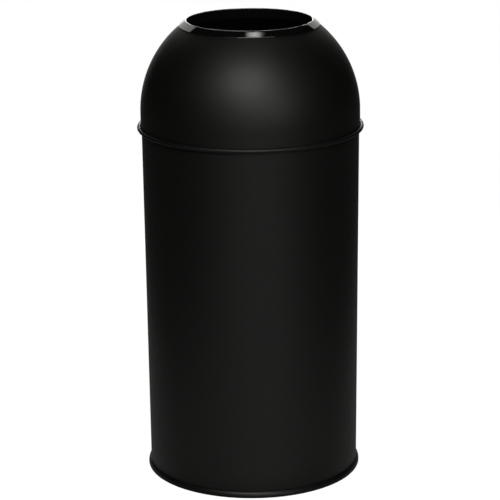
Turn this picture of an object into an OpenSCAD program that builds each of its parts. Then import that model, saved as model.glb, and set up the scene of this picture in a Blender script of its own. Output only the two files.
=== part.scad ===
// Dome top waste receptacle: a round sheet-steel bin whose domed top lifts off, with a
// galvanised liner that lifts out by its wire bail and a vinyl ring under the wall.
// Millimetres. The origin is the centre of the base on the floor, +Z is up and the front
// faces -Y. Radii are measured from the vertical axis unless a comment says otherwise.

/* [Body] */
// Outer radius of the wall at its top edge
body_top_r = 183; // [150:0.5:230]
// How much smaller the wall's radius is at its foot
body_taper = 4; // [0:0.5:8]
// Height of the wall's top edge above the floor
body_top_z = 595.7; // [420:0.1:760]
// Thickness of the painted sheet steel of the wall, pan, collar and dome
sheet_t = 0.9; // [0.6:0.1:1.4]
// Height of the hem folded inside the wall's top edge
hem_h = 8; // [4:0.5:14]
// Width of the welded lap down the back of the wall
lap_w = 14; // [8:1:24]

/* [Base ring and pan] */
// Height of the base ring
ring_h = 11.5; // [9:0.5:16]
// How far the base ring stands out past the wall's foot
ring_out = 4.5; // [3.25:0.25:5]
// Height at which the base ring is widest
ring_wide_z = 3.5; // [3:0.25:4.5]
// Radius of the base ring's lower outer corner
ring_foot_r = 2.5; // [1:0.25:2.5]
// Thickness of the base ring under the wall's lower edge
ring_web_t = 3; // [2:0.25:5]
// Thickness of the base ring's inner leg
ring_leg_t = 2.5; // [1.5:0.25:5]
// Height of the pan's flange, from the channel's floor to the pan's top face
pan_h = 13; // [10:0.5:20]
// Outer bend radius of the pan's corner
pan_bend_r = 3; // [2:0.25:4]
// Radius of the raised middle of the pan
pan_middle_r = 122; // [80:1:130]
// How far the middle of the pan is raised
pan_rise = 3; // [1:0.25:5]

/* [Dome] */
// How far the dome's wall stands out past the body's top edge
dome_step = 1.5; // [0.5:0.25:3]
// Height of the dome's straight skirt, from the bead's centre to the sphere's centre
skirt_h = 27.5; // [10:0.5:60]
// Diameter of the rolled bead along the dome's lower edge
bead_d = 7; // [5:0.25:11]
// How far the collar's leg reaches down inside the wall
collar_drop = 20; // [12:0.5:35]
// Length of the collar's lead-in, bent inwards at the leg's lower end
lead_in_h = 5; // [2:0.5:8]
// How far the lead-in bends inwards
lead_in_w = 2; // [0.5:0.25:3]

/* [Mouth] */
// Radius of the open mouth, inside its trim ring
mouth_r = 105; // [70:0.5:125]
// Width of the trim ring, measured level from its inside to its outer edge
trim_w = 12.5; // [8:0.5:18]
// Thickness of the trim ring where it lies on the dome and lines the mouth
trim_t = 1.4; // [1:0.1:2]
// Radius of the trim ring's rounded inner edge, its nose
nose_r = 0.8; // [0.5:0.1:1.4]
// How far the trim ring's lining hangs below its nose
trim_drop = 16; // [8:0.5:30]

/* [Liner] */
// Thickness of the galvanised sheet
liner_t = 0.7; // [0.5:0.1:1]
// How much smaller the liner's radius is at its foot
liner_taper = 8; // [5:0.5:14]
// Height left between the collar's leg and the top of the liner's rim
rim_gap = 10; // [5:0.5:25]
// Diameter of the wire in the liner's rim
rim_wire_d = 4; // [3:0.25:5]
// Height of the hem folded outside the liner's foot
foot_hem_h = 6; // [3:0.5:12]
// Height of the liner's bottom above the raised middle of the pan
bottom_over = 5; // [3:0.5:12]
// Outer bend radius of the liner's bottom
bottom_bend_r = 3; // [1.5:0.25:5]

/* [Bail] */
// Diameter of the bail's wire
bail_d = 4; // [3:0.25:5]
// Height of the liner's rim above the bail's axis
ear_drop = 24; // [22:0.5:34]
// Thickness of each ear
ear_t = 1.5; // [1:0.1:2]
// Radius of the ear round the bail's axis
ear_eye_r = 11; // [8:0.5:13]
// Radius of the ear's rounded ends
ear_end_r = 7; // [6:0.5:9]
// Distance from the bail's axis to each rivet
rivet_off = 17; // [15:0.5:24]
// Diameter of the rivets' shanks
rivet_d = 4.6; // [3:0.2:5]
// Diameter of the rivets' heads
rivet_head_d = 8; // [6.5:0.25:10]
// Height of the rivets' rounded outer heads
rivet_head_h = 1.7; // [1:0.1:2]
// Diameter of the rivets' flat inner heads
rivet_tail_d = 7; // [6:0.25:9]
// Thickness of those inner heads
rivet_tail_t = 0.8; // [0.5:0.1:1.2]
// Radius of the bend between the bail's bow and its ends
bail_bend_r = 6; // [4:0.5:9]
// Diameter of the flattened head on each end of the bail
bail_head_d = 7; // [5.5:0.25:8]
// Thickness of that head
bail_head_t = 1.4; // [1:0.1:2.5]

/* [Clearances] */
// Gap between fitted pieces of one body, such as the pan's flange and the wall
fit_gap = 0.2; // [0.1:0.05:0.4]
// Gap between welded, riveted or crimped faces
joint_gap = 0.1; // [0.05:0.05:0.2]
// Gap under a piece that rests on another and lifts off it
seat_gap = 0.3; // [0.2:0.05:0.6]
// Side clearance between the collar's leg and the wall's hem
collar_clear = 0.7; // [0.4:0.1:2]
// Clearance between the swinging bail and the lap inside the wall
bail_wall_gap = 1.8; // [1:0.1:4]
// Clearance between the swinging bail and the liner's rim
bail_rim_gap = 0.8; // [0.5:0.1:2]
// Radial clearance of the bail's ends in the ears
pivot_clear = 0.08; // [0.02:0.01:0.1]
// Radial clearance of the bail's ends in the liner's wall, so that the ears carry them
wall_hole_clear = 1; // [0.5:0.1:1.5]
// Clearance between each bail end's head and the liner's wall
head_gap = 0.5; // [0.3:0.1:1]

/* [Hidden] */
$fn = 128;
cut = 1; // how far a cutting shape runs past what it cuts

matt_black = [0.06, 0.06, 0.06];
gloss_black = [0.02, 0.02, 0.02];
vinyl_black = [0.09, 0.09, 0.09];
galvanised = [0.66, 0.68, 0.7];
bright_wire = [0.74, 0.75, 0.76];

// Wall of the body
channel_z = ring_web_t;
body_foot_r = body_top_r - body_taper;
body_slope = body_taper / (body_top_z - channel_z);
function body_out_r(z) = body_foot_r + body_slope * (z - channel_z);

// Pan and base ring
pan_top_z = channel_z + pan_h;
pan_r = body_foot_r - sheet_t - fit_gap;
pan_step_w = 2 * pan_rise; // level width of the slope up to the pan's raised middle
ring_r = body_foot_r + ring_out;
ring_lip = 0.5; // flat left on top of the ring, beside the wall
crown_in_r = body_out_r(ring_h) + ring_lip; // where the ring's outer face meets that flat
crown_w = ring_r - crown_in_r;
crown_h = ring_h - ring_wide_z;
crown_r = (pow(crown_w, 2) + pow(crown_h, 2)) / (2 * crown_w); // arc of that face, upright where widest
slot_out_r = body_out_r(ring_h) + fit_gap;
slot_in_r = pan_r - sheet_t - fit_gap;
leg_in_r = slot_in_r - ring_leg_t;
leg_top_z = pan_top_z - pan_bend_r - cut;

// Collar and dome
collar_low_z = body_top_z - collar_drop;
collar_flange_z = body_top_z + seat_gap;
collar_r = body_top_r - 2 * sheet_t - collar_clear;
dome_r = body_top_r + dome_step;
bead_r = bead_d / 2;
bead_centre_r = dome_r - sheet_t + bead_r;
bead_centre_z = collar_flange_z + sheet_t + joint_gap + bead_r;
dome_z = bead_centre_z + skirt_h; // the sphere's centre

// Trim ring, with heights measured from the sphere's centre
trim_r = dome_r + joint_gap + trim_t; // radius of the ring's outer face about that centre
nose_x = mouth_r + nose_r;
nose_z = sqrt(pow(trim_r - nose_r, 2) - pow(nose_x, 2));
nose_end_x = nose_x * trim_r / (trim_r - nose_r); // where the nose meets the outer face
lining_r = mouth_r + trim_t; // outside of the lining
dome_edge_r = lining_r + seat_gap; // the dome's cut edge, outside the lining

// Liner
liner_foot_z = pan_top_z + seat_gap;
rim_top_z = collar_low_z - rim_gap;
bail_z = rim_top_z - ear_drop;
bail_r = bail_d / 2;
curl_r = rim_wire_d / 2 + joint_gap / 2 + liner_t;
curl_z = rim_top_z - curl_r;
bow_r = body_out_r(bail_z) - 2 * sheet_t - bail_wall_gap - bail_r; // centre line of the bow
// The swinging bow sweeps a sphere about the liner's axis, and the rim lies inside it
curl_centre_r = sqrt(pow(bow_r - bail_r - bail_rim_gap - curl_r, 2) - pow(curl_z - bail_z, 2));
liner_top_r = curl_centre_r - curl_r + liner_t;
liner_foot_r = liner_top_r - liner_taper;
liner_slope = liner_taper / (curl_z - liner_foot_z);
function liner_out_r(z) = liner_foot_r + liner_slope * (z - liner_foot_z);
bottom_r = liner_foot_r - liner_t - joint_gap;
bottom_top_z = pan_top_z + pan_rise + bottom_over;

// Ears and rivets
ear_in_r = liner_out_r(bail_z) + joint_gap;
ear_out_r = ear_in_r + ear_t;
rivet_angle = asin(rivet_off / ear_out_r);
rivet_r = rivet_d / 2;
pivot_r = bail_r + pivot_clear;
wall_hole_r = bail_r + wall_hole_clear;

// Bail: its bow runs into a bend, and the bend into a straight end along the axis
bend_x = sqrt(pow(bow_r - bail_bend_r, 2) - pow(bail_bend_r, 2));
bend_angle = asin(bail_bend_r / (bow_r - bail_bend_r));
head_x = liner_out_r(bail_z) - liner_t - head_gap;
wire_join = 0.02; // how far the ball where the bow meets a bend is wider than the wire
// The bow hangs until its middle is seat_gap from the liner's sloping wall
lean_r = liner_out_r(bail_z) + (bail_r + seat_gap) * sqrt(1 + pow(liner_slope, 2));
lean_a = 1 + pow(liner_slope, 2);
lean_b = lean_r * liner_slope;
hang_depth = (lean_b + sqrt(pow(lean_b, 2) - lean_a * (pow(lean_r, 2) - pow(bow_r, 2)))) / lean_a;
hang_angle = asin(hang_depth / bow_r);

// A quarter of a bent sheet, outside radius r and thickness t, in the +x +y quadrant
module bend_2d(r, t) {
    intersection() {
        difference() {
            circle(r);
            circle(r - t);
        }
        square(r);
    }
}

// A pressed disc with its flange turned down, as it is spun: top face at z, flange to foot_z
module pressed_rim_2d(r, t, bend, foot_z, z) {
    translate([r - t, foot_z])
        square([t, z - bend - foot_z]);
    translate([r - bend, z - bend])
        bend_2d(bend, t);
}

// A band of sheet that follows a sloping wall from (r0, z0) to (r1, z1), t thick inwards
module sloping_band_2d(r0, z0, r1, z1, t) {
    polygon([[r0, z0], [r1, z1], [r1 - t, z1], [r0 - t, z0]]);
}

module body_shell() {
    hem_z = body_top_z - hem_h;
    color(matt_black) {
        rotate_extrude() {
            sloping_band_2d(body_foot_r, channel_z, body_top_r, body_top_z, sheet_t);
            sloping_band_2d(body_out_r(hem_z), hem_z, body_top_r, body_top_z, 2 * sheet_t);
        }
        back_lap();
    }
}

// The inner layer of the lap, from above the pan to the hem
module back_lap() {
    low_z = pan_top_z + seat_gap;
    high_z = body_top_z - hem_h;
    intersection() {
        rotate_extrude()
            sloping_band_2d(body_out_r(low_z) - sheet_t / 2, low_z,
                            body_out_r(high_z) - sheet_t / 2, high_z, 1.5 * sheet_t);
        translate([-lap_w / 2, body_foot_r / 2, 0])
            cube([lap_w, body_top_r, body_top_z]);
    }
}

module bottom_pan() {
    slope_r = pan_middle_r + pan_step_w;
    color(matt_black)
        rotate_extrude() {
            pressed_rim_2d(pan_r, sheet_t, pan_bend_r, channel_z, pan_top_z);
            polygon([
                [pan_r - pan_bend_r, pan_top_z],
                [slope_r, pan_top_z],
                [pan_middle_r, pan_top_z + pan_rise],
                [0, pan_top_z + pan_rise],
                [0, pan_top_z + pan_rise - sheet_t],
                [pan_middle_r, pan_top_z + pan_rise - sheet_t],
                [slope_r, pan_top_z - sheet_t],
                [pan_r - pan_bend_r, pan_top_z - sheet_t],
            ]);
        }
}

// A channel with a rounded outer foot and, above its widest line, a long rounded outer face
module base_ring() {
    foot_x = ring_r - ring_foot_r;
    color(vinyl_black)
        rotate_extrude()
            difference() {
                union() {
                    translate([leg_in_r, 0])
                        square([crown_in_r - leg_in_r, ring_h]);
                    translate([leg_in_r, 0])
                        square([foot_x - leg_in_r, ring_wide_z]);
                    translate([foot_x, ring_foot_r])
                        circle(ring_foot_r);
                    translate([foot_x, ring_foot_r])
                        square([ring_foot_r, ring_wide_z - ring_foot_r]);
                    intersection() {
                        translate([ring_r - crown_r, ring_wide_z])
                            circle(crown_r);
                        translate([crown_in_r, ring_wide_z])
                            square([crown_w, crown_h]);
                    }
                }
                translate([slot_in_r, channel_z])
                    square([slot_out_r - slot_in_r, ring_h]);
                translate([leg_in_r - cut, leg_top_z])
                    square([slot_in_r + 2 * cut - leg_in_r, ring_h]);
            }
}

module dome_shell() {
    color(matt_black)
        translate([0, 0, dome_z])
            rotate_extrude() {
                intersection() {
                    difference() {
                        circle(dome_r);
                        circle(dome_r - sheet_t);
                    }
                    translate([dome_edge_r, 0])
                        square(dome_r);
                }
                translate([dome_r - sheet_t, -skirt_h])
                    square([sheet_t, skirt_h]);
                translate([bead_centre_r, -skirt_h])
                    difference() {
                        circle(bead_r);
                        circle(bead_r - sheet_t);
                    }
            }
}

// L-section: its flange lies under the bead, and its leg reaches down inside the wall
module locating_collar() {
    flange_top_z = collar_flange_z + sheet_t;
    color(matt_black)
        rotate_extrude()
            polygon([
                [collar_r - sheet_t, flange_top_z],
                [bead_centre_r, flange_top_z],
                [bead_centre_r, collar_flange_z],
                [collar_r, collar_flange_z],
                [collar_r, collar_low_z + lead_in_h],
                [collar_r - lead_in_w, collar_low_z],
                [collar_r - lead_in_w - sheet_t, collar_low_z],
                [collar_r - sheet_t, collar_low_z + lead_in_h],
            ]);
}

// L-section: a cap that lies on the dome round its cut edge, and a lining down inside the mouth
module mouth_ring() {
    under_r = dome_r + joint_gap;
    color(gloss_black)
        translate([0, 0, dome_z])
            rotate_extrude()
                difference() {
                    union() {
                        intersection() {
                            difference() {
                                circle(trim_r);
                                circle(under_r);
                            }
                            translate([nose_end_x, 0])
                                square([mouth_r + trim_w - nose_end_x, trim_r]);
                        }
                        translate([nose_x, nose_z])
                            circle(nose_r);
                        translate([mouth_r, nose_z - trim_drop])
                            square([trim_t, trim_drop]);
                        translate([mouth_r + trim_t / 2, nose_z - trim_drop])
                            circle(trim_t / 2);
                    }
                    intersection() {
                        circle(under_r);
                        translate([lining_r, 0])
                            square(dome_r);
                    }
                }
}

module liner_wall() {
    hem_z = liner_foot_z + foot_hem_h;
    color(galvanised)
        difference() {
            rotate_extrude() {
                sloping_band_2d(liner_foot_r, liner_foot_z, liner_top_r, curl_z, liner_t);
                sloping_band_2d(liner_foot_r + liner_t, liner_foot_z,
                                liner_out_r(hem_z) + liner_t, hem_z, 2 * liner_t);
                translate([curl_centre_r, curl_z])
                    difference() {
                        circle(curl_r);
                        circle(curl_r - liner_t);
                    }
            }
            bail_axis_hole(wall_hole_r);
            rivet_holes();
        }
}

module liner_bottom() {
    color(galvanised)
        rotate_extrude() {
            pressed_rim_2d(bottom_r, liner_t, bottom_bend_r, liner_foot_z, bottom_top_z);
            translate([0, bottom_top_z - liner_t])
                square([bottom_r - bottom_bend_r, liner_t]);
        }
}

module rim_wire() {
    color(bright_wire)
        translate([0, 0, curl_z])
            rotate_extrude()
                translate([curl_centre_r, 0])
                    circle(rim_wire_d / 2);
}

// A hole along the bail's axis, right across the liner
module bail_axis_hole(r) {
    translate([-body_top_r, 0, bail_z])
        rotate([0, 90, 0])
            cylinder(r = r, h = 2 * body_top_r);
}

// Places its children at each rivet's axis, with their +Z pointing out of the liner
module at_rivets(sides) {
    for (side = sides, turn = [-rivet_angle, rivet_angle])
        rotate([0, 0, side + turn])
            translate([0, 0, bail_z])
                rotate([0, 90, 0])
                    children();
}

module rivet_holes() {
    at_rivets([0, 180])
        translate([0, 0, bow_r / 2])
            cylinder(r = rivet_r + joint_gap, h = bow_r / 2);
}

// A pressed plate that follows the liner's wall, with an eye for the bail and two ends
module bail_ear() {
    low_z = bail_z - ear_eye_r - cut;
    high_z = bail_z + ear_eye_r + cut;
    outer = joint_gap + ear_t;
    color(galvanised)
        difference() {
            intersection() {
                rotate_extrude()
                    sloping_band_2d(liner_out_r(low_z) + outer, low_z,
                                    liner_out_r(high_z) + outer, high_z, ear_t);
                translate([0, 0, bail_z])
                    rotate([90, 0, 90])
                        linear_extrude(height = body_top_r)
                            ear_outline_2d();
            }
            bail_axis_hole(pivot_r);
            rivet_holes();
        }
}

module ear_outline_2d() {
    circle(ear_eye_r);
    square([2 * rivet_off, 2 * ear_end_r], center = true);
    for (side = [-1, 1])
        translate([side * rivet_off, 0])
            circle(ear_end_r);
}

module bail_ear_right() {
    bail_ear();
}

module bail_ear_left() {
    rotate([0, 0, 180])
        bail_ear();
}

// A rivet along +Z through the liner's wall and an ear, with a rounded head outside
module ear_rivet() {
    cap_r = (pow(rivet_head_d / 2, 2) + pow(rivet_head_h, 2)) / (2 * rivet_head_h);
    inner_r = liner_out_r(bail_z) - liner_t - joint_gap;
    outer_r = ear_out_r + joint_gap;
    translate([0, 0, inner_r - rivet_tail_t])
        cylinder(r = rivet_tail_d / 2, h = rivet_tail_t);
    translate([0, 0, inner_r - rivet_tail_t / 2])
        cylinder(r = rivet_r, h = outer_r - inner_r + rivet_tail_t);
    intersection() {
        translate([0, 0, outer_r + rivet_head_h - cap_r])
            sphere(cap_r);
        translate([0, 0, outer_r])
            cylinder(r = rivet_head_d, h = rivet_head_h + cut);
    }
}

module ear_rivets() {
    color(bright_wire)
        at_rivets([0, 180])
            ear_rivet();
}

// Hanging behind the liner at rest; it swings up about the X axis through bail_z
module bail_wire() {
    color(bright_wire)
        translate([0, 0, bail_z])
            rotate([-hang_angle, 0, 0]) {
                rotate([0, 0, bend_angle])
                    rotate_extrude(angle = 180 - 2 * bend_angle)
                        translate([bow_r, 0])
                            circle(bail_r);
                bail_end();
                mirror([1, 0, 0])
                    bail_end();
            }
}

// One bend and its straight end, which passes through the ear to a flattened head
module bail_end() {
    rotate([0, 0, bend_angle])
        translate([bow_r, 0, 0])
            sphere(bail_r + wire_join);
    translate([bend_x, bail_bend_r, 0])
        rotate([0, 0, -90])
            rotate_extrude(angle = 90 + bend_angle)
                translate([bail_bend_r, 0])
                    circle(bail_r);
    translate([head_x - bail_head_t, 0, 0])
        rotate([0, 90, 0]) {
            cylinder(r = bail_r, h = bend_x - head_x + bail_head_t);
            cylinder(r = bail_head_d / 2, h = bail_head_t);
        }
}

body_shell();
bottom_pan();
base_ring();
dome_shell();
locating_collar();
mouth_ring();
liner_wall();
liner_bottom();
rim_wire();
bail_ear_left();
bail_ear_right();
ear_rivets();
bail_wire();
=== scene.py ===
"""Looks of a dome top waste receptacle: painted sheet steel, a gloss trim ring and a galvanised liner.

Metres, +Z up, the front faces -Y. A Geometry Nodes tree turns the section of each round piece about the
vertical axis. A sheet's section is made from its centre line, with its bends and its thickness.
"""
import math

import bmesh
import bpy
from mathutils import Matrix, Vector


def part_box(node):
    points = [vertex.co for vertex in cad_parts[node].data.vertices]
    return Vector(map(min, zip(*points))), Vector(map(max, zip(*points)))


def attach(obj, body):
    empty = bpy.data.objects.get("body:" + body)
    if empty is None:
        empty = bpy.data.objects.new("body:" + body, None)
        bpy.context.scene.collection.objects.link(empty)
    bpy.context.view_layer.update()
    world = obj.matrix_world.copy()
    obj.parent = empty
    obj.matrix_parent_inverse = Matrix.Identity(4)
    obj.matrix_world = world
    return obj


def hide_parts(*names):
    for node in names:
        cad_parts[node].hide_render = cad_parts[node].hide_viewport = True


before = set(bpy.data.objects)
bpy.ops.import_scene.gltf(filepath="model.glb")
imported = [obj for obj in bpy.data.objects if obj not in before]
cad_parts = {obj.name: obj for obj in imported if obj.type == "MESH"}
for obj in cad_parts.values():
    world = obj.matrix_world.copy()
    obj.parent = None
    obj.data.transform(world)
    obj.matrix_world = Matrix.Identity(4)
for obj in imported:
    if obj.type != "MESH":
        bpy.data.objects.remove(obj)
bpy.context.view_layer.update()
MM = 0.001

# ---------------------------------------------------------------- sizes


def outer_radius(node):
    """The largest distance of a round node's box from the axis."""
    low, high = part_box(node)
    return max(high.x, high.y, -low.x, -low.y)


def low_z(node):
    """Height of a node's lowest point."""
    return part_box(node)[0].z


def high_z(node):
    """Height of a node's highest point."""
    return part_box(node)[1].z


# Sheet and body
SHEET = 0.9 * MM
FOLD_GAP = 0.1 * MM  # between the layers of a hem
FIT_GAP = 0.2 * MM  # on each side of the two sheets in the base ring's slot
BODY_TAPER = 4 * MM  # what the wall's radius loses from its top to its foot
HEM_H = 8 * MM
BODY_TOP_R = outer_radius("body_shell")
BODY_LOW_Z = low_z("body_shell")
BODY_TOP_Z = high_z("body_shell")
BODY_SLOPE = BODY_TAPER / (BODY_TOP_Z - BODY_LOW_Z)

# Lap down the back
LAP_W = 14 * MM
LAP_ROUNDING = 0.3 * MM
LAP_STEPS = 4  # faces on each side of its middle
LAP_START = 0.95  # sheet thicknesses from the wall's outside to the inner layer
LAP_CLEAR = 0.3 * MM  # from the inner layer's foot to the pan
LAP_LINE = (0.5 * MM, 0.35 * MM, -0.35 * MM)  # width, flank and height of the groove at the outer edge
WELD_PITCH = 25 * MM

# Base ring and pan
RING_R = outer_radius("base_ring")
RING_H = high_z("base_ring")
RING_WIDE_Z = 3.5 * MM  # where the ring is widest
RING_FOOT = 2.5 * MM  # bend of its lower outer edge
RING_LIP = 0.5 * MM  # from the wall to the top of its rounded side
RING_LEG = 2.5 * MM  # thickness of its inner leg
LEG_GAP = 1 * MM  # from the leg's top to the pan's bend
LIP_BEND = 0.3 * MM
SLOT_MOUTH_BEND = 0.1 * MM
SLOT_BEND = 0.4 * MM
LEG_BEND = 0.6 * MM
RING_JOINT = (0.2 * MM, 0.4 * MM, -0.5 * MM)  # width, flank and height of the groove between its ends
PAN_R = outer_radius("bottom_pan")
PAN_BEND = 3 * MM
PAN_RISE = 3 * MM
PAN_MIDDLE_R = 122 * MM
PAN_STEP_W = 2 * PAN_RISE
PAN_STEP_BEND = 4 * MM
PAN_TOP_Z = high_z("bottom_pan") - PAN_RISE

# Dome, bead and collar
BEAD_R = 3.5 * MM
BEAD_CURL_GAP = 0.15 * MM  # from the curl's edge to the skirt
SKIRT_H = 27.5 * MM
SKIRT_HOLD = 1.2 * MM  # the skirt is straight down to this height over the bead's middle
DOME_EDGE_GAP = 0.3 * MM  # from the dome's cut edge to the trim's lining
BEAD_CENTRE_R = outer_radius("dome_shell") - BEAD_R
DOME_R = BEAD_CENTRE_R - BEAD_R + SHEET
BEAD_Z = low_z("dome_shell") + BEAD_R
DOME_Z = BEAD_Z + SKIRT_H  # the half-sphere's middle
COLLAR_INSET = 2.5 * MM  # from the wall's outside to the collar's leg
COLLAR_R = BODY_TOP_R - COLLAR_INSET
COLLAR_BEND = 1.2 * MM
LEAD_IN_H = 5 * MM
LEAD_IN_W = 2 * MM
LEAD_IN_BEND = 3 * MM

# Trim ring of the mouth
MOUTH_R = 105 * MM
TRIM_T = 1.4 * MM
TRIM_GAP = 0.1 * MM  # between the trim and the dome
TRIM_LIP_BEND = 0.6 * MM
TRIM_UNDER_BEND = 0.3 * MM
LINING_BEND = 0.65 * MM
LINING_START = 6 * MM  # the section starts on the lining, this far below the nose's middle
NOSE_R = 0.8 * MM
LINING_R = MOUTH_R + TRIM_T
TRIM_SPHERE_R = DOME_R + TRIM_GAP + TRIM_T
NOSE_CENTRE_R = MOUTH_R + NOSE_R
NOSE_H = math.sqrt((TRIM_SPHERE_R - NOSE_R) ** 2 - NOSE_CENTRE_R ** 2)  # above the half-sphere's middle
NOSE_Z = DOME_Z + NOSE_H

# Liner
LINER_SHEET = 0.7 * MM
LINER_TAPER = 8 * MM  # what the wall's radius loses from its rim to its foot
LINER_HEM_H = 6 * MM
LINER_SEAM = (5 * MM, 0.8 * MM, 0.8 * MM)  # width, flank and height of the seam's raised band
LINER_SEAM_ANGLE = 45  # degrees from +X, where the back is 90
LINER_SEAM_END = 8 * MM  # from the wall's foot and the rim's middle to the band's ends
LINER_LOW_Z = low_z("liner_wall")
RIM_R = 2.75 * MM
RIM_CURL_GAP = 0.1 * MM  # from the curl's edge to the wall
RIM_HOLD = 2 * MM  # the wall is straight up to this far below the rim's middle
RIM_CENTRE_R = outer_radius("liner_wall") - RIM_R
RIM_Z = high_z("liner_wall") - RIM_R
LINER_FOOT_R = RIM_CENTRE_R - RIM_R + LINER_SHEET - LINER_TAPER
LINER_SLOPE = LINER_TAPER / (RIM_Z - LINER_LOW_Z)
BOTTOM_BEND = 3 * MM

# Faces
STRAIGHT_RUN = 40 * MM  # the longest face along a straight run
SKIRT_RUN = 12 * MM  # and along the dome's skirt
ON_FACE = 0.2 * MM  # a section's point nearer than this to a face counts as lying on it


def body_radius(z):
    """Outer radius of the body's wall at height z."""
    return BODY_TOP_R - BODY_SLOPE * (BODY_TOP_Z - z)


def liner_radius(z):
    """Outer radius of the liner's wall at height z."""
    return LINER_FOOT_R + LINER_SLOPE * (z - LINER_LOW_Z)


# ---------------------------------------------------------------- section lines

SAG = 0.01 * MM  # how far a chord may stand off its arc
WIDEST_STEP = math.radians(20)  # the most that a chord turns
HOLD = 0.35  # holding points lie this share of a bend's radius past its ends
STRAIGHT = 1e-4  # a turn below this angle is no bend
SAME_PLACE = 2e-6  # points nearer than this are one point
ON_AXIS = 1e-6  # a point nearer than this to the axis lies on it
SHARPEST_MITRE = 0.5  # cosine that limits how far a sharp corner is moved out
EDGE_ROUNDING = 0.3  # share of a sheet's thickness


def arc_count(radius, angle):
    """How many chords an arc of that radius and angle takes."""
    step = min(WIDEST_STEP, 2 * math.acos(1 - SAG / radius))
    return max(2, math.ceil(abs(angle) / step))


def arc(centre, radius, start, end):
    """Points of an arc in the section plane, with its angles in degrees from the +r direction."""
    start, end = math.radians(start), math.radians(end)
    count = arc_count(radius, end - start)
    angles = [start + (end - start) * i / count for i in range(count + 1)]
    return [Vector((centre[0] + radius * math.cos(a), centre[1] + radius * math.sin(a))) for a in angles]


def bent_line(corners):
    """A line through (r, z, bend radius) corners, with each bend an arc between two holding points.

    A corner given as a plain point, or with a bend of 0, stays as it is.
    """
    points = [Vector(c[:2]) for c in corners]
    bends = [c[2] if len(c) > 2 else 0 for c in corners]
    line = [points[0]]
    for i in range(1, len(corners) - 1):
        back, ahead = points[i - 1] - points[i], points[i + 1] - points[i]
        turn = math.pi - back.angle(ahead)
        if bends[i] <= 0 or turn < STRAIGHT:
            line.append(points[i])
            continue
        reach = bends[i] * math.tan(turn / 2)
        back.normalize()
        ahead.normalize()
        into, out = points[i] + back * reach, points[i] + ahead * reach
        middle = points[i] + (back + ahead).normalized() * bends[i] / math.cos(turn / 2)
        first = math.atan2((into - middle).y, (into - middle).x)
        side = 1 if back.cross(ahead) < 0 else -1
        hold = HOLD * bends[i]
        if (into - points[i - 1]).length > 2 * hold:
            line.append(into + back * hold)
        count = arc_count(bends[i], turn)
        for k in range(count + 1):
            a = first + side * turn * k / count
            line.append(middle + Vector((math.cos(a), math.sin(a))) * bends[i])
        if (points[i + 1] - out).length > 2 * hold:
            line.append(out + ahead * hold)
    line.append(points[-1])
    return line


def without_doubles(line):
    """The line without the points that lie on the one before them."""
    kept = [line[0]]
    for p in line[1:]:
        if (p - kept[-1]).length > SAME_PLACE:
            kept.append(p)
    return kept


def side_line(line, offset):
    """The line moved sideways by offset, to the left of its direction."""
    moved = []
    for i, p in enumerate(line):
        along = []
        if i > 0:
            along.append((p - line[i - 1]).normalized())
        if i + 1 < len(line):
            along.append((line[i + 1] - p).normalized())
        normals = [Vector((-d.y, d.x)) for d in along]
        normal = (normals[0] + normals[-1]).normalized()
        moved.append(p + normal * offset / max(normal.dot(normals[0]), SHARPEST_MITRE))
    return moved


def cut_edge(a, b, outward):
    """A cut edge from a to b, rounded at both corners, with outward pointing off the sheet."""
    rounding = (b - a).length * EDGE_ROUNDING
    outward = outward.normalized()
    across = (b - a).normalized()
    line = []
    for corner, side in ((a, 1), (b, -1)):
        middle = corner + across * rounding * side - outward * rounding
        for degrees in (0, 30, 60, 90)[::side]:
            t = math.radians(degrees)
            line.append(middle + (outward * math.sin(t) - across * side * math.cos(t)) * rounding)
    return line


def sheet_section(centre, thickness):
    """A closed section round a centre line, with rounded cut edges. It is left open on the axis."""
    centre = without_doubles(centre)
    left, right = side_line(centre, thickness / 2), side_line(centre, -thickness / 2)
    start = cut_edge(left[0], right[0], centre[0] - centre[1])
    if centre[-1].x < ON_AXIS:
        return left[:0:-1] + start + right[1:]
    end = cut_edge(right[-1], left[-1], centre[-1] - centre[-2])
    return start + right[1:-1] + end + left[-2:0:-1]


def spaced(line, longest):
    """The line with its long straight runs cut into pieces no longer than longest."""
    points = [line[0]]
    for p in line[1:]:
        start = points[-1]
        count = max(1, math.ceil((p - start).length / longest))
        points += [start.lerp(p, (k + 1) / count) for k in range(count)]
    return points


# ---------------------------------------------------------------- node trees


class Wiring:
    """Short calls that add nodes to a tree and join them."""

    def __init__(self, tree):
        self.tree = tree

    def node(self, kind, **settings):
        """A new node with its settings."""
        made = self.tree.nodes.new(kind)
        for name, value in settings.items():
            setattr(made, name, value)
        return made

    def join(self, value, socket):
        """Links an output, or sets a plain value."""
        if isinstance(value, bpy.types.NodeSocket):
            self.tree.links.new(value, socket)
        else:
            socket.default_value = value

    def math(self, operation, *values):
        """The result of a Math node."""
        made = self.node("ShaderNodeMath", operation=operation)
        for value, socket in zip(values, made.inputs):
            self.join(value, socket)
        return made.outputs[0]

    def mix(self, factor, low, high):
        """low at factor 0 and high at factor 1."""
        return self.math("MULTIPLY_ADD", factor, self.math("SUBTRACT", high, low), low)

    def smoothstep(self, value, low, high, start=0.0, end=1.0):
        """start below low, end above high, and a smooth way between them."""
        made = self.node("ShaderNodeMapRange", interpolation_type="SMOOTHSTEP")
        for given, socket in zip((value, low, high, start, end), made.inputs):
            self.join(given, socket)
        return made.outputs[0]


def new_tree(name, inputs):
    """The wiring of a new Geometry Nodes tree, with the sockets of its inputs and of its result."""
    tree = bpy.data.node_groups.new(name, "GeometryNodeTree")
    tree.interface.new_socket("Geometry", in_out="INPUT", socket_type="NodeSocketGeometry")
    for label, kind in inputs:
        tree.interface.new_socket(label, in_out="INPUT", socket_type="NodeSocket" + kind)
    tree.interface.new_socket("Geometry", in_out="OUTPUT", socket_type="NodeSocketGeometry")
    w = Wiring(tree)
    return w, w.node("NodeGroupInput").outputs, w.node("NodeGroupOutput").inputs


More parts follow.
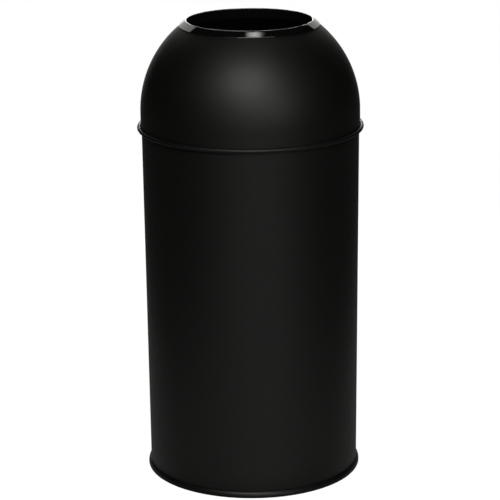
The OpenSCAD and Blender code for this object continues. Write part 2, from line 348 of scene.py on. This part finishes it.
def finish_tree(w, geometry, given, result):
    """The end that every tree has: smooth shading, real geometry and its material."""
    smooth = w.node("GeometryNodeSetShadeSmooth")
    w.join(geometry, smooth.inputs["Geometry"])
    real = w.node("GeometryNodeRealizeInstances")
    w.join(smooth.outputs[0], real.inputs["Geometry"])
    coat = w.node("GeometryNodeSetMaterial")
    w.join(real.outputs[0], coat.inputs["Geometry"])
    w.join(given["Material"], coat.inputs["Material"])
    w.join(coat.outputs[0], result["Geometry"])


def sampled(w, geometry, value, index, kind):
    """A value read off the geometry's points by index."""
    made = w.node("GeometryNodeSampleIndex", data_type=kind)
    w.join(geometry, made.inputs["Geometry"])
    w.join(value, made.inputs["Value"])
    w.join(index, made.inputs["Index"])
    return made.outputs[0]


def named(w, name, kind):
    """A named attribute of the geometry."""
    made = w.node("GeometryNodeInputNamedAttribute", data_type=kind)
    made.inputs["Name"].default_value = name
    return made.outputs[0]


def spun_tree():
    """Turns a section line round the Z axis. A seam at one angle is a groove or a raised band."""
    w, given, result = new_tree("spun_sheet", [
        ("Steps", "Int"), ("Seam Angle", "Float"), ("Crowding", "Float"), ("Seam Width", "Float"),
        ("Seam Flank", "Float"), ("Seam Height", "Float"), ("Material", "Material"),
    ])
    # A flat grid takes the shape: one row for each of the section's points, one column for each step
    section = given["Geometry"]
    size = w.node("GeometryNodeAttributeDomainSize")
    w.join(section, size.inputs[0])
    columns = w.math("ADD", given["Steps"], 1.0)
    grid = w.node("GeometryNodeMeshGrid")
    w.join(size.outputs["Point Count"], grid.inputs["Vertices X"])
    w.join(columns, grid.inputs["Vertices Y"])
    index = w.node("GeometryNodeInputIndex").outputs[0]
    row = w.math("FLOOR", w.math("DIVIDE", w.math("ADD", index, 0.5), columns))
    column = w.math("SUBTRACT", index, w.math("MULTIPLY", row, columns))
    place = w.node("ShaderNodeSeparateXYZ")
    position = w.node("GeometryNodeInputPosition").outputs[0]
    w.join(sampled(w, section, position, row, "FLOAT_VECTOR"), place.inputs[0])
    share = sampled(w, section, named(w, "seam", "FLOAT"), row, "FLOAT")

    # The columns crowd towards the seam, so that its narrow flanks have faces of their own
    turn = w.math("MULTIPLY", w.math("DIVIDE", column, given["Steps"]), math.tau)
    spread = w.math("SUBTRACT", 1.0, given["Crowding"])
    around = w.math("SUBTRACT", turn, w.math("MULTIPLY", spread, w.math("SINE", turn)))
    nearest = w.math("MINIMUM", around, w.math("SUBTRACT", math.tau, around))
    distance = w.math("MULTIPLY", nearest, place.outputs["X"])
    half = w.math("MULTIPLY", given["Seam Width"], 0.5)
    on_seam = w.smoothstep(distance, half, w.math("ADD", half, given["Seam Flank"]), 1.0, 0.0)
    lift = w.math("MULTIPLY", on_seam, w.math("MULTIPLY", share, given["Seam Height"]))

    radius = w.math("ADD", place.outputs["X"], lift)
    angle = w.math("ADD", around, given["Seam Angle"])
    where = w.node("ShaderNodeCombineXYZ")
    w.join(w.math("MULTIPLY", radius, w.math("COSINE", angle)), where.inputs["X"])
    w.join(w.math("MULTIPLY", radius, w.math("SINE", angle)), where.inputs["Y"])
    w.join(place.outputs["Z"], where.inputs["Z"])
    put = w.node("GeometryNodeSetPosition")
    w.join(grid.outputs["Mesh"], put.inputs["Geometry"])
    w.join(where.outputs[0], put.inputs["Position"])
    closed = w.node("GeometryNodeMergeByDistance")
    w.join(put.outputs[0], closed.inputs["Geometry"])
    w.join(ON_AXIS, closed.inputs["Distance"])
    finish_tree(w, closed.outputs[0], given, result)
    return w.tree


def weld_tree():
    """Puts a spot weld on each point, turned so that its +Z follows the point's outward arrow."""
    w, given, result = new_tree("spot_welds", [("Weld", "Object"), ("Material", "Material")])
    info = w.node("GeometryNodeObjectInfo")
    w.join(given["Weld"], info.inputs["Object"])
    turn = w.node("FunctionNodeAlignRotationToVector", axis="Z")
    w.join(named(w, "outward", "FLOAT_VECTOR"), turn.inputs["Vector"])
    copies = w.node("GeometryNodeInstanceOnPoints")
    w.join(given["Geometry"], copies.inputs["Points"])
    w.join(info.outputs["Geometry"], copies.inputs["Instance"])
    w.join(turn.outputs[0], copies.inputs["Rotation"])
    finish_tree(w, copies.outputs[0], given, result)
    return w.tree


# ---------------------------------------------------------------- meshes

CROWDING = 0.03  # columns at a seam lie about this share of an even step apart
NO_SEAM = (MM, MM, 0.0)  # a seam of no height
TINY_EDGE = 1e-7  # shorter edges are taken out


def socket_id(tree, name):
    """Identifier of a tree's input."""
    sockets = tree.interface.items_tree
    return next(s.identifier for s in sockets if s.name == name and s.in_out == "INPUT")


def linked(name, data):
    """A new object in the scene's collection, at the origin."""
    made = bpy.data.objects.new(name, data)
    bpy.context.scene.collection.objects.link(made)
    return made


def evaluated(base, tree, values):
    """The plain mesh that a tree makes of a base mesh with the given inputs."""
    carrier = linked(tree.name, base)
    modifier = carrier.modifiers.new(tree.name, "NODES")
    modifier.node_group = tree
    for label, value in values.items():
        modifier[socket_id(tree, label)] = value
    shown = carrier.evaluated_get(bpy.context.evaluated_depsgraph_get())
    mesh = bpy.data.meshes.new_from_object(shown)
    carrier.modifiers.remove(modifier)
    bpy.data.objects.remove(carrier)
    return mesh


def piece(name, mesh, body, nodes):
    """A finished piece, riding on its body and standing for its CAD nodes."""
    mesh.name = name
    made = linked(name, mesh)
    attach(made, body)
    if nodes:
        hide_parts(*nodes)
    return made


def facing_out(mesh):
    """The closed mesh with its normals recalculated, so that its faces point outwards."""
    bm = bmesh.new()
    bm.from_mesh(mesh)
    bmesh.ops.dissolve_degenerate(bm, dist=TINY_EDGE, edges=bm.edges)
    bmesh.ops.recalc_face_normals(bm, faces=bm.faces)
    bm.to_mesh(mesh)
    bm.free()
    return mesh


def spun_mesh(section, material, steps, seam=None, seam_on=None, seam_angle=90):
    """A section turned round the axis. seam is (width, flank, height), at seam_angle in degrees,
    and seam_on says which of the section's points it moves."""
    line = without_doubles(section if section[0].x < ON_AXIS else section + [section[0]])
    chain = bpy.data.meshes.new("section")
    chain.from_pydata([(p.x, 0, p.y) for p in line], [(i, i + 1) for i in range(len(line) - 1)], [])
    shares = [float(bool(seam and seam_on(p))) for p in line]
    chain.attributes.new("seam", "FLOAT", "POINT").data.foreach_set("value", shares)
    width, flank, height = seam or NO_SEAM
    mesh = evaluated(chain, SPUN, {
        "Steps": steps, "Seam Angle": math.radians(seam_angle), "Crowding": CROWDING if seam else 1.0,
        "Seam Width": width, "Seam Flank": flank, "Seam Height": height, "Material": material,
    })
    return facing_out(mesh)


# ---------------------------------------------------------------- materials


def new_material(name):
    """A material, its wiring, its shader's inputs and its object coordinates."""
    material = bpy.data.materials.new(name)
    material.use_nodes = True
    w = Wiring(material.node_tree)
    shader = material.node_tree.nodes["Principled BSDF"].inputs
    return material, w, shader, w.node("ShaderNodeTexCoord").outputs["Object"]


def noise(w, place, scale, detail=3.0, output="Fac"):
    """A noise texture's value, or its colour. scale is in waves a metre."""
    made = w.node("ShaderNodeTexNoise")
    w.join(place, made.inputs["Vector"])
    made.inputs["Scale"].default_value = scale
    made.inputs["Detail"].default_value = detail
    return made.outputs[output]


def shades(w, value, *stops):
    """A colour ramp of (position, red, green, blue) stops."""
    made = w.node("ShaderNodeValToRGB")
    elements = made.color_ramp.elements
    while len(elements) < len(stops):
        elements.new(0.5)
    for element, (position, *colour) in zip(elements, stops):
        element.position = position
        element.color = (*colour, 1)
    w.join(value, made.inputs[0])
    return made.outputs[0]


def bump(w, height, distance, strength=0.5, under=None):
    """A bumped normal, on top of another bump where one is given."""
    made = w.node("ShaderNodeBump")
    made.inputs["Strength"].default_value = strength
    made.inputs["Distance"].default_value = distance
    w.join(height, made.inputs["Height"])
    if under is not None:
        w.join(under, made.inputs["Normal"])
    return made.outputs[0]


def powder_coat():
    """Matt black powder coat: a fine orange peel and a slightly uneven sheen."""
    material, w, shader, place = new_material("matt_black_powder_coat")
    patches = noise(w, place, scale=9, detail=4)
    w.join(shades(w, patches, (0.3, 0.0013, 0.0013, 0.0012), (0.7, 0.0018, 0.0018, 0.0016)),
           shader["Base Color"])
    w.join(w.mix(noise(w, place, scale=60, detail=4), 0.47, 0.53), shader["Roughness"])
    peel = bump(w, noise(w, place, scale=520, detail=2), distance=0.06 * MM)
    grain = noise(w, place, scale=2600, detail=2)
    w.join(bump(w, grain, distance=0.015 * MM, under=peel), shader["Normal"])
    shader["Specular IOR Level"].default_value = 0.3
    return material


def gloss_black():
    """Gloss black trim with the long shallow waves of a moulding, and a painted highlight in paler
    patches along its inner edge.
    """
    material, w, shader, place = new_material("gloss_black_trim")
    parts = w.node("ShaderNodeSeparateXYZ")
    w.join(place, parts.inputs[0])
    radius = w.math("SQRT", w.math("ADD", w.math("POWER", parts.outputs["X"], 2.0),
                                   w.math("POWER", parts.outputs["Y"], 2.0)))
    # A painted highlight: a paler, rougher band in broken patches on top of the nose, along the inner
    # edge
    highlight_full_r, highlight_end_r = MOUTH_R + 0.9 * MM, MOUTH_R + 1.7 * MM
    highlight_end_z, highlight_full_z = NOSE_Z - 0.9 * MM, NOSE_Z + 0.1 * MM
    near_edge = w.smoothstep(radius, highlight_full_r, highlight_end_r, 1.0, 0.0)
    near_top = w.smoothstep(parts.outputs["Z"], highlight_end_z, highlight_full_z)
    patches = w.smoothstep(noise(w, place, scale=130, detail=2), 0.4, 0.6)
    painted_highlight = w.math("MULTIPLY", w.math("MULTIPLY", near_edge, near_top), patches)
    w.join(shades(w, painted_highlight, (0.0, 0.0028, 0.0028, 0.0029), (1.0, 0.09, 0.09, 0.088)),
           shader["Base Color"])
    polished = w.mix(noise(w, place, scale=180), 0.03, 0.06)
    w.join(w.mix(painted_highlight, polished, 0.3), shader["Roughness"])
    w.join(bump(w, noise(w, place, scale=60, detail=1), distance=0.3 * MM), shader["Normal"])
    shader["IOR"].default_value = 1.9
    return material


def vinyl():
    """Satin black vinyl with a fine grain."""
    material, w, shader, place = new_material("satin_black_vinyl")
    w.join(shades(w, noise(w, place, scale=25), (0.3, 0.002, 0.002, 0.002), (0.7, 0.004, 0.004, 0.004)),
           shader["Base Color"])
    w.join(w.mix(noise(w, place, scale=220), 0.36, 0.44), shader["Roughness"])
    w.join(bump(w, noise(w, place, scale=900, detail=2), distance=0.03 * MM), shader["Normal"])
    shader["Specular IOR Level"].default_value = 0.17
    return material


def galvanised():
    """Hot-dip galvanised sheet: a spangle of flat crystals, each with its own shade and sheen."""
    material, w, shader, place = new_material("galvanised_spangle")
    # Inputs 4 and 5 and output 1 are the Mix node's vector sockets
    bent = w.node("ShaderNodeMix", data_type="VECTOR")
    bent.inputs["Factor"].default_value = 0.006
    w.join(place, bent.inputs[4])
    w.join(noise(w, place, scale=90, detail=2, output="Color"), bent.inputs[5])
    crystals = w.node("ShaderNodeTexVoronoi")
    crystals.inputs["Scale"].default_value = 95
    w.join(bent.outputs[1], crystals.inputs["Vector"])
    own = w.node("ShaderNodeSeparateColor")
    w.join(crystals.outputs["Color"], own.inputs[0])
    own_shade, own_sheen, own_tilt = own.outputs
    w.join(shades(w, own_shade, (0.0, 0.42, 0.44, 0.46), (0.5, 0.54, 0.56, 0.57),
                  (1.0, 0.66, 0.67, 0.68)), shader["Base Color"])
    w.join(w.mix(own_sheen, 0.3, 0.5), shader["Roughness"])
    shader["Metallic"].default_value = 0.7
    facets = bump(w, own_tilt, distance=0.05 * MM, strength=0.3)
    grain = noise(w, place, scale=700)
    w.join(bump(w, grain, distance=0.02 * MM, under=facets), shader["Normal"])
    return material


def zinc_plate():
    """Bright zinc-plated steel, faintly mottled."""
    material, w, shader, place = new_material("zinc_plated_steel")
    mottling = noise(w, place, scale=160, detail=4)
    w.join(shades(w, mottling, (0.3, 0.56, 0.57, 0.58), (0.7, 0.68, 0.69, 0.69)), shader["Base Color"])
    w.join(w.mix(noise(w, place, scale=420), 0.22, 0.36), shader["Roughness"])
    shader["Metallic"].default_value = 1.0
    w.join(bump(w, noise(w, place, scale=1500, detail=2), distance=0.015 * MM), shader["Normal"])
    return material


POWDER = powder_coat()
GLOSS = gloss_black()
VINYL = vinyl()
GALVANISED = galvanised()
ZINC = zinc_plate()
SPUN = spun_tree()
WELDS = weld_tree()

# ---------------------------------------------------------------- body


def body_wall():
    """The rolled wall with its hem folded inwards, and the fine line where its lap ends outside."""
    half, fold = SHEET / 2, (SHEET + FOLD_GAP) / 2
    top = BODY_TOP_Z - half
    out_r = body_radius(top) - half
    in_r = out_r - 2 * fold
    hem_low = BODY_TOP_Z - HEM_H
    centre = bent_line([
        (body_radius(BODY_LOW_Z) - half, BODY_LOW_Z),
        (out_r, top, fold),
        (in_r, top, fold),
        (in_r - BODY_SLOPE * HEM_H, hem_low),
    ])

    def on_outside(p):
        return p.x > body_radius(p.y) - ON_FACE and p.y < hem_low

    mesh = spun_mesh(spaced(sheet_section(centre, SHEET), STRAIGHT_RUN), POWDER, steps=420,
                     seam=LAP_LINE, seam_on=on_outside)
    return piece("body_wall", mesh, "body", ["body_shell"])


def back_lap():
    """The inner layer of the wall's lap: a strip down the back, with its long edges rounded."""
    back = math.pi / 2
    rings = []
    for z in (PAN_TOP_Z + LAP_CLEAR, BODY_TOP_Z - HEM_H):
        out_r = body_radius(z) - LAP_START * SHEET
        in_r = body_radius(z) - 2 * SHEET
        half = LAP_W / 2 / in_r
        turns = [half * k / LAP_STEPS for k in range(-LAP_STEPS, LAP_STEPS + 1)]
        outer = [(out_r, back + t) for t in turns]
        inner = [(in_r, back - t * (1 - LAP_ROUNDING / LAP_W)) for t in turns]
        edge_r = in_r + LAP_ROUNDING
        outline = [*outer, (edge_r, back + half), *inner, (edge_r, back - half)]
        rings.append([(r * math.cos(a), r * math.sin(a), z) for r, a in outline])
    count = len(rings[0])
    sides = [(i, (i + 1) % count, count + (i + 1) % count, count + i) for i in range(count)]
    mesh = bpy.data.meshes.new("back_lap")
    mesh.from_pydata(rings[0] + rings[1], [], [*sides, range(count), range(count, 2 * count)])
    mesh.materials.append(POWDER)
    return piece("back_lap", facing_out(mesh), "body", [])


def weld_mark():
    """The mark of one spot weld: a shallow dish with a raised rim, 5.2 mm across."""
    sides = 12
    dish_z, rim_z, foot_z = 0.04 * MM, 0.16 * MM, -0.05 * MM
    points = [(0, 0, dish_z)]
    for r, z in ((1.3 * MM, dish_z), (2.0 * MM, rim_z), (2.6 * MM, foot_z)):
        turns = [math.tau * k / sides for k in range(sides)]
        points += [(r * math.cos(a), r * math.sin(a), z) for a in turns]
    faces = [(0, 1 + k, 1 + (k + 1) % sides) for k in range(sides)]
    for first in (1, 1 + sides):
        for k in range(sides):
            ahead = (k + 1) % sides
            faces.append((first + k, first + sides + k, first + sides + ahead, first + ahead))
    faces.append(range(1 + 2 * sides, 1 + 3 * sides))
    mesh = bpy.data.meshes.new("weld_mark")
    mesh.from_pydata(points, [], faces)
    return facing_out(mesh)


def lap_welds():
    """The spot welds that join the lap, one for each pitch down the inside of the back."""
    count = int((BODY_TOP_Z - PAN_TOP_Z) / WELD_PITCH)
    heights = [PAN_TOP_Z + WELD_PITCH * (k + 0.5) for k in range(count)]
    points = bpy.data.meshes.new("weld_places")
    points.from_pydata([(0, body_radius(z) - 2 * SHEET, z) for z in heights], [], [])
    arrows = [0, -1, BODY_SLOPE] * count
    points.attributes.new("outward", "FLOAT_VECTOR", "POINT").data.foreach_set("vector", arrows)
    mark = linked("weld_mark", weld_mark())
    mesh = evaluated(points, WELDS, {"Weld": mark, "Material": POWDER})
    bpy.data.objects.remove(mark)
    return piece("lap_welds", mesh, "body", [])


def bottom_pan():
    """The pressed bottom: a flange down into the base ring, a flat edge and a raised middle."""
    half = SHEET / 2
    flat = PAN_TOP_Z - half
    centre = bent_line([
        (PAN_R - half, BODY_LOW_Z),
        (PAN_R - half, flat, PAN_BEND - half),
        (PAN_MIDDLE_R + PAN_STEP_W, flat, PAN_STEP_BEND),
        (PAN_MIDDLE_R, flat + PAN_RISE, PAN_STEP_BEND),
        (0, flat + PAN_RISE),
    ])
    mesh = spun_mesh(sheet_section(centre, SHEET), POWDER, steps=180)
    return piece("pan", mesh, "body", ["bottom_pan"])


def base_ring():
    """The vinyl channel under the wall, with the fine joint of its two ends at the back."""
    web = BODY_LOW_Z
    slot_out = body_radius(RING_H) + FIT_GAP
    slot_in = PAN_R - SHEET - FIT_GAP
    leg_in = slot_in - RING_LEG
    leg_top = min(RING_H, PAN_TOP_Z - PAN_BEND - LEG_GAP)
    middle = (leg_in + RING_R) / 2
    crown_in = body_radius(RING_H) + RING_LIP
    crown_w, crown_h = RING_R - crown_in, RING_H - RING_WIDE_Z
    crown = (crown_w ** 2 + crown_h ** 2) / (2 * crown_w)
    crown_end = math.degrees(math.asin(crown_h / crown))
    section = bent_line([
        (middle, 0),
        (RING_R, 0, RING_FOOT),
        *arc((RING_R - crown, RING_WIDE_Z), crown, 0, crown_end)[:-1],
        (crown_in, RING_H, LIP_BEND),
        (slot_out, RING_H, SLOT_MOUTH_BEND),
        (slot_out, web, SLOT_BEND),
        (slot_in, web, SLOT_BEND),
        (slot_in, leg_top, LEG_BEND),
        (leg_in, leg_top, LEG_BEND),
        (leg_in, 0, LEG_BEND),
        (middle, 0),
    ])

    def on_outside(p):
        return p.x > slot_out + ON_FACE

    mesh = spun_mesh(section[:-1], VINYL, steps=360, seam=RING_JOINT, seam_on=on_outside)
    return piece("foot_ring", mesh, "body", ["base_ring"])


body_wall()
back_lap()
lap_welds()
bottom_pan()
base_ring()

# ---------------------------------------------------------------- dome


def dome():
    """The spun half-sphere with its skirt, and the sheet curled outwards into the bead."""
    half = SHEET / 2
    sphere_r = DOME_R - half
    edge_angle = math.degrees(math.acos((LINING_R + DOME_EDGE_GAP) / sphere_r))
    tuck = BEAD_CENTRE_R - DOME_R - BEAD_CURL_GAP
    curl_end = 360 + math.degrees(math.acos(-tuck / BEAD_R))
    centre = [
        *arc((0, DOME_Z), sphere_r, edge_angle, 0),
        Vector((sphere_r, BEAD_Z + SKIRT_HOLD)),
        *arc((BEAD_CENTRE_R, BEAD_Z), BEAD_R - half, 180, curl_end),
    ]
    mesh = spun_mesh(spaced(sheet_section(centre, SHEET), SKIRT_RUN), POWDER, steps=360)
    return piece("dome_top", mesh, "dome", ["dome_shell"])


def collar():
    """The ring under the bead: a flange, a leg inside the wall, and its foot turned in as a lead."""
    half = SHEET / 2
    flange_z = high_z("locating_collar") - half
    leg_r = COLLAR_R - half
    low = low_z("locating_collar")
    centre = bent_line([
        (BEAD_CENTRE_R, flange_z),
        (leg_r, flange_z, COLLAR_BEND),
        (leg_r, low + LEAD_IN_H, LEAD_IN_BEND),
        (leg_r - LEAD_IN_W, low),
    ])
    mesh = spun_mesh(sheet_section(centre, SHEET), POWDER, steps=300)
    return piece("collar", mesh, "dome", ["locating_collar"])


def mouth_ring():
    """The moulded trim: a cap round the dome's cut edge, a small nose and a lining inside the mouth."""
    low = low_z("mouth_ring")
    out_r = outer_radius("mouth_ring")
    nose_angle = math.degrees(math.atan(NOSE_H / NOSE_CENTRE_R))
    under_sphere_r = DOME_R + TRIM_GAP
    top_end_r = out_r - 1.2 * TRIM_LIP_BEND
    under_start_r = out_r - 2 * TRIM_LIP_BEND
    under_end_r = LINING_R + 1 * MM

    def on_sphere(sphere_r, r):
        return Vector((r, DOME_Z + math.sqrt(sphere_r ** 2 - r ** 2)))

    def angle_at(sphere_r, r):
        return math.degrees(math.acos(r / sphere_r))

    section = bent_line([
        (MOUTH_R, NOSE_Z - LINING_START),
        (MOUTH_R, NOSE_Z - NOSE_R),
        *arc((NOSE_CENTRE_R, NOSE_Z), NOSE_R, 180, nose_angle),
        *arc((0, DOME_Z), TRIM_SPHERE_R, nose_angle, angle_at(TRIM_SPHERE_R, top_end_r))[1:],
        (*on_sphere(TRIM_SPHERE_R, out_r), TRIM_LIP_BEND),
        (*on_sphere(under_sphere_r, out_r), TRIM_LIP_BEND),
        *arc((0, DOME_Z), under_sphere_r, angle_at(under_sphere_r, under_start_r),
             angle_at(under_sphere_r, under_end_r)),
        (*on_sphere(under_sphere_r, LINING_R), TRIM_UNDER_BEND),
        (LINING_R, low, LINING_BEND),
        (MOUTH_R, low, LINING_BEND),
        (MOUTH_R, NOSE_Z - LINING_START),
    ])
    mesh = spun_mesh(section[:-1], GLOSS, steps=300)
    return piece("mouth_trim", mesh, "dome", ["mouth_ring"])


dome()
collar()
mouth_ring()

# ---------------------------------------------------------------- liner


def liner_wall():
    """The liner's rolled wall: a hem outside its foot, and its top curled out over the rim's wire."""
    half, fold = LINER_SHEET / 2, (LINER_SHEET + FOLD_GAP) / 2
    foot = LINER_LOW_Z + half
    wall_r = LINER_FOOT_R - half
    hem_r = wall_r + 2 * fold
    curl_end = -math.degrees(math.acos(-(RIM_R - LINER_SHEET - RIM_CURL_GAP) / RIM_R))
    curl = arc((RIM_CENTRE_R, RIM_Z), RIM_R - half, 180, curl_end)
    centre = bent_line([
        (hem_r + LINER_SLOPE * LINER_HEM_H, LINER_LOW_Z + LINER_HEM_H),
        (hem_r, foot, fold),
        (wall_r, foot, fold),
        (curl[0].x - LINER_SLOPE * RIM_HOLD, RIM_Z - RIM_HOLD),
        *curl,
    ])

    def on_band(p):
        between = LINER_LOW_Z + LINER_SEAM_END < p.y < RIM_Z - LINER_SEAM_END
        return between and p.x > liner_radius(p.y) - ON_FACE

    mesh = spun_mesh(spaced(sheet_section(centre, LINER_SHEET), STRAIGHT_RUN), GALVANISED, steps=360,
                     seam=LINER_SEAM, seam_angle=LINER_SEAM_ANGLE, seam_on=on_band)
    return piece("liner_side", mesh, "liner", ["liner_wall"])


def liner_bottom():
    """The liner's pressed bottom, with its flange turned down inside the wall."""
    half = LINER_SHEET / 2
    flat = high_z("liner_bottom") - half
    flange_r = outer_radius("liner_bottom") - half
    centre = bent_line([
        (flange_r, low_z("liner_bottom")),
        (flange_r, flat, BOTTOM_BEND - half),
        (0, flat),
    ])
    mesh = spun_mesh(spaced(sheet_section(centre, LINER_SHEET), STRAIGHT_RUN), GALVANISED, steps=180)
    return piece("liner_floor", mesh, "liner", ["liner_bottom"])


liner_wall()
liner_bottom()

# CAD nodes that keep their own shape
for node, finish in {
    "rim_wire": ZINC, "bail_wire": ZINC, "ear_rivets": ZINC,
    "bail_ear_left": GALVANISED, "bail_ear_right": GALVANISED,
}.items():
    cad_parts[node].data.materials.clear()
    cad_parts[node].data.materials.append(finish)

# ---------------------------------------------------------------- light

# Soft panels far away, in degrees from the front, positive to the right, and above the horizon
PANELS = {
    "key": dict(azimuth=-1, elevation=40.7, wide=0.28, tall=0.10, edge=0.04, radiance=20.4),
    "low_front": dict(azimuth=0, elevation=12, wide=0.25, tall=0.10, edge=0.05, radiance=3.2),
    "low_right": dict(azimuth=28, elevation=14, wide=0.22, tall=0.12, edge=0.06, radiance=5.0),
    "high_left": dict(azimuth=-32, elevation=38, wide=0.2, tall=0.2, edge=0.06, radiance=1.4),
    # The highlight on the front of the trim ring
    "overhead": dict(azimuth=147.4, elevation=83.1, wide=0.075, tall=0.066, edge=0.072,
                     edge_tall=0.012, turn=32.6, radiance=3.6),
    # The grey reflections on the trim ring's left and right
    "behind_left": dict(azimuth=201.2, elevation=15.6, wide=0.43, tall=0.08, edge=0.01,
                        edge_tall=0.02, turn=53.1, radiance=0.72),
    "behind_right": dict(azimuth=161.6, elevation=11.8, wide=0.33, tall=0.08, edge=0.01,
                         edge_tall=0.02, turn=-52.5, radiance=0.68),
    # The thin light rims of the dome
    "rim_left": dict(azimuth=194, elevation=-4, wide=0.14, tall=0.12, edge=0.04, radiance=0.9),
    "rim_right": dict(azimuth=166, elevation=-4, wide=0.14, tall=0.12, edge=0.04, radiance=0.4),
    # The light on the back. From the front it also lights the trim ring's inner edge and the bead's ends
    "back_high": dict(azimuth=180, elevation=42, wide=0.12, tall=0.16, edge=0.05, radiance=9),
    "back_low": dict(azimuth=180, elevation=10, wide=0.13, tall=0.12, edge=0.05, radiance=9),
}
ROOM_TINT = (1, 0.99, 0.96, 1)
GROUND_LIGHT = 0.06  # what the dim ground far from the object sends back
GROUND_FULL, GROUND_END = -0.2, -0.02  # a direction's height where that light is full and where it ends


def panel(w, direction, azimuth, elevation, wide, tall, edge, radiance, edge_tall=None, turn=0):
    """The light of a soft rectangular panel. wide and tall are the tangents of its half angles, edge and
    edge_tall are how soft it is along each, and it is turned in its own plane by turn degrees."""
    a, e = math.radians(azimuth), math.radians(elevation)
    middle = Vector((math.sin(a) * math.cos(e), -math.cos(a) * math.cos(e), math.sin(e)))
    right = Matrix.Rotation(math.radians(turn), 3, middle) @ Vector((math.cos(a), math.sin(a), 0))
    down = right.cross(middle)

    def along(axis):
        made = w.node("ShaderNodeVectorMath", operation="DOT_PRODUCT")
        w.join(direction, made.inputs[0])
        made.inputs[1].default_value = axis
        return made.outputs["Value"]

    # A direction away from the panel gets a tiny divisor, which puts it far outside the panel
    ahead = w.math("MAXIMUM", along(middle), 1e-3)
    light = radiance
    for axis, half, soft in ((right, wide, edge), (down, tall, edge_tall or edge)):
        across = w.math("ABSOLUTE", w.math("DIVIDE", along(axis), ahead))
        light = w.math("MULTIPLY", light, w.smoothstep(across, half - soft, half + soft, 1.0, 0.0))
    return light


def studio():
    """White for the camera. For all else it is a dark room with soft panels and a dim ground."""
    world = bpy.data.worlds.new("studio")
    bpy.context.scene.world = world
    world.use_nodes = True
    w = Wiring(world.node_tree)
    world.node_tree.nodes.clear()
    direction = w.node("ShaderNodeTexCoord").outputs["Generated"]
    place = w.node("ShaderNodeSeparateXYZ")
    w.join(direction, place.inputs[0])
    light = w.smoothstep(place.outputs["Z"], GROUND_FULL, GROUND_END, GROUND_LIGHT, 0.0)
    for values in PANELS.values():
        light = w.math("ADD", light, panel(w, direction, **values))
    room = w.node("ShaderNodeBackground")
    room.inputs["Color"].default_value = ROOM_TINT
    w.join(light, room.inputs["Strength"])
    white = w.node("ShaderNodeBackground")
    white.inputs["Color"].default_value = (1, 1, 1, 1)
    both = w.node("ShaderNodeMixShader")
    w.join(w.node("ShaderNodeLightPath").outputs["Is Camera Ray"], both.inputs[0])
    w.join(room.outputs[0], both.inputs[1])
    w.join(white.outputs[0], both.inputs[2])
    w.join(both.outputs[0], w.node("ShaderNodeOutputWorld").inputs["Surface"])


# ---------------------------------------------------------------- floor

FLOOR_HALF_W = 0.7
FLOOR_FRONT, FLOOR_BACK = -2.6, 1.6
FLOOR_COLOUR = (0.25, 0.25, 0.25, 1)
FLOOR_GLOW = 0.88  # added for the camera alone, so that the lit floor shows white
FRONT_FLOOR_LIGHT = 0.16  # what the floor in front of the object shows in gloss
FLOOR_LIGHT = 0.05  # and beside and behind the object
FRONT_FLOOR_END, FLOOR_START = -0.25, -0.15  # the y between which one gives way to the other


def floor():
    """A pale strip of floor that shows white, and still keeps a faint shadow."""
    mesh = bpy.data.meshes.new("floor")
    corners = [(x, y, 0) for x, y in (
        (-FLOOR_HALF_W, FLOOR_FRONT), (FLOOR_HALF_W, FLOOR_FRONT),
        (FLOOR_HALF_W, FLOOR_BACK), (-FLOOR_HALF_W, FLOOR_BACK),
    )]
    mesh.from_pydata(corners, [], [(0, 1, 2, 3)])
    made = linked("floor", mesh)
    material = bpy.data.materials.new("pale_floor")
    material.use_nodes = True
    w = Wiring(material.node_tree)
    material.node_tree.nodes.clear()
    path = w.node("ShaderNodeLightPath").outputs
    place = w.node("ShaderNodeSeparateXYZ")
    w.join(w.node("ShaderNodeTexCoord").outputs["Object"], place.inputs[0])
    diffuse = w.node("ShaderNodeBsdfDiffuse")
    diffuse.inputs["Color"].default_value = FLOOR_COLOUR
    glow = w.node("ShaderNodeEmission")
    seen = w.math("MULTIPLY", path["Is Camera Ray"], FLOOR_GLOW)
    in_gloss = w.math("MAXIMUM", path["Is Glossy Ray"], path["Is Transmission Ray"])
    sent_back = w.smoothstep(place.outputs["Y"], FRONT_FLOOR_END, FLOOR_START,
                             FRONT_FLOOR_LIGHT, FLOOR_LIGHT)
    w.join(w.math("ADD", seen, w.math("MULTIPLY", in_gloss, sent_back)), glow.inputs["Strength"])
    top = w.node("ShaderNodeAddShader")
    w.join(diffuse.outputs[0], top.inputs[0])
    w.join(glow.outputs[0], top.inputs[1])
    # The floor is clear from below, so that a view of the object's underside isn't blocked
    clear = w.node("ShaderNodeBsdfTransparent")
    sides = w.node("ShaderNodeMixShader")
    w.join(w.node("ShaderNodeNewGeometry").outputs["Backfacing"], sides.inputs[0])
    w.join(top.outputs[0], sides.inputs[1])
    w.join(clear.outputs[0], sides.inputs[2])
    w.join(sides.outputs[0], w.node("ShaderNodeOutputMaterial").inputs["Surface"])
    mesh.materials.append(material)


# ---------------------------------------------------------------- camera

LENS, SENSOR_W = 164.46, 36  # millimetres
SHIFT_X = -0.003394  # of the frame's width
PITCH = math.radians(16.168)  # below the horizontal
ROLL = -0.01034  # radians
CAMERA_PLACE = (0, -3.7501, 1.4689)


def camera():
    """The photograph's view: from a little above, through a long lens."""
    data = bpy.data.cameras.new("camera")
    data.lens = LENS
    data.sensor_width = SENSOR_W
    data.shift_x = SHIFT_X
    made = linked("camera", data)
    turn = Matrix.Rotation(math.pi / 2 - PITCH, 4, "X") @ Matrix.Rotation(ROLL, 4, "Z")
    made.matrix_world = Matrix.Translation(CAMERA_PLACE) @ turn
    bpy.context.scene.camera = made


camera()
studio()
floor()
bpy.context.scene.view_settings.view_transform = "Standard"
